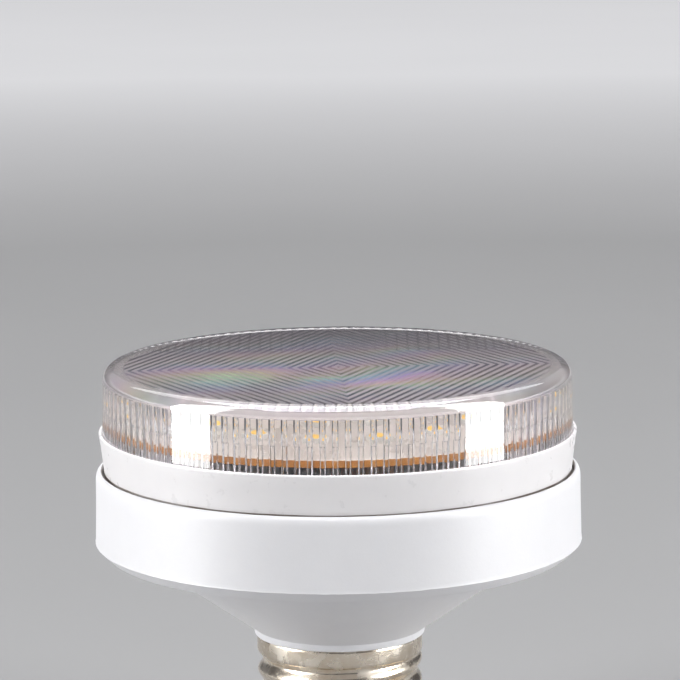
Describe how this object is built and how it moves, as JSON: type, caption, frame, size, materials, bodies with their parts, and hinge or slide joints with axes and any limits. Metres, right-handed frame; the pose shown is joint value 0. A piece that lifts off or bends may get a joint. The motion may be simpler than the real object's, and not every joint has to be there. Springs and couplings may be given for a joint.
{
  "type": "led disc lamp",
  "caption": "Flat round LED disc lamp with a clear prismatic cover, twist-locked into a white disc adapter with a short neck and an E27 screw cap.",
  "frame": {"origin": "on the lamp's axis, in the plane where the screw cap's metal rim meets the adapter's neck", "axes": "+Z out of the clear front, the screw cap points along -Z, the two contact pins lie along X"},
  "size_m": [0.0768, 0.0768, 0.0698],
  "materials": {
    "white_housing": "satin white moulded plastic",
    "white_adapter": "satin white moulded plastic",
    "clear_cover": "clear moulded polycarbonate",
    "plate_plastic": "white moulded plastic",
    "cap_metal": "nickel plated thin sheet",
    "brass": "plain brass",
    "spring_bronze": "phosphor bronze strip",
    "black_insulator": "black moulded insulator",
    "screw_steel": "zinc plated",
    "board_amber": "amber paper laminate with white top mask",
    "led_body": "white package",
    "phosphor": "yellow phosphor",
    "driver_laminate": "green laminate",
    "can_aluminium": "sleeved aluminium can",
    "film_red": "dipped film capacitor",
    "ferrite": "sintered ferrite",
    "copper_winding": "enamelled copper",
    "resistor_body": "coated resistor",
    "black_epoxy": "moulded epoxy",
    "wire_sleeve": "insulated wire"
  },
  "bodies": {
    "adapter": {"adapter_body": "white_adapter", "contact_plate": "plate_plastic", "plate_screws": "screw_steel", "contact_springs": "spring_bronze", "spring_rivets": "brass", "screw_shell": "cap_metal", "cap_insulator": "black_insulator", "centre_contact": "brass", "adapter_leads": "wire_sleeve"},
    "lamp": {"lamp_housing": "white_housing", "contact_pins": "brass", "lamp_cover": "clear_cover", "led_board": "board_amber", "led_packages": "led_body", "led_phosphors": "phosphor", "board_screws": "screw_steel", "driver_board": "driver_laminate", "electrolytic_capacitor": "can_aluminium", "film_capacitor": "film_red", "inductor_core": "ferrite", "inductor_winding": "copper_winding", "fuse_resistor": "resistor_body", "bridge_rectifier": "black_epoxy", "driver_ic": "black_epoxy", "pin_leads": "wire_sleeve", "led_leads": "wire_sleeve"}
  },
  "joints": [
    {"name": "lamp_twist", "type": "hinge", "parent": "adapter", "child": "lamp", "pos_m": [0, 0, 0.026], "axis": [0, 0, 1], "range_deg": [0, 20]}
  ]
}
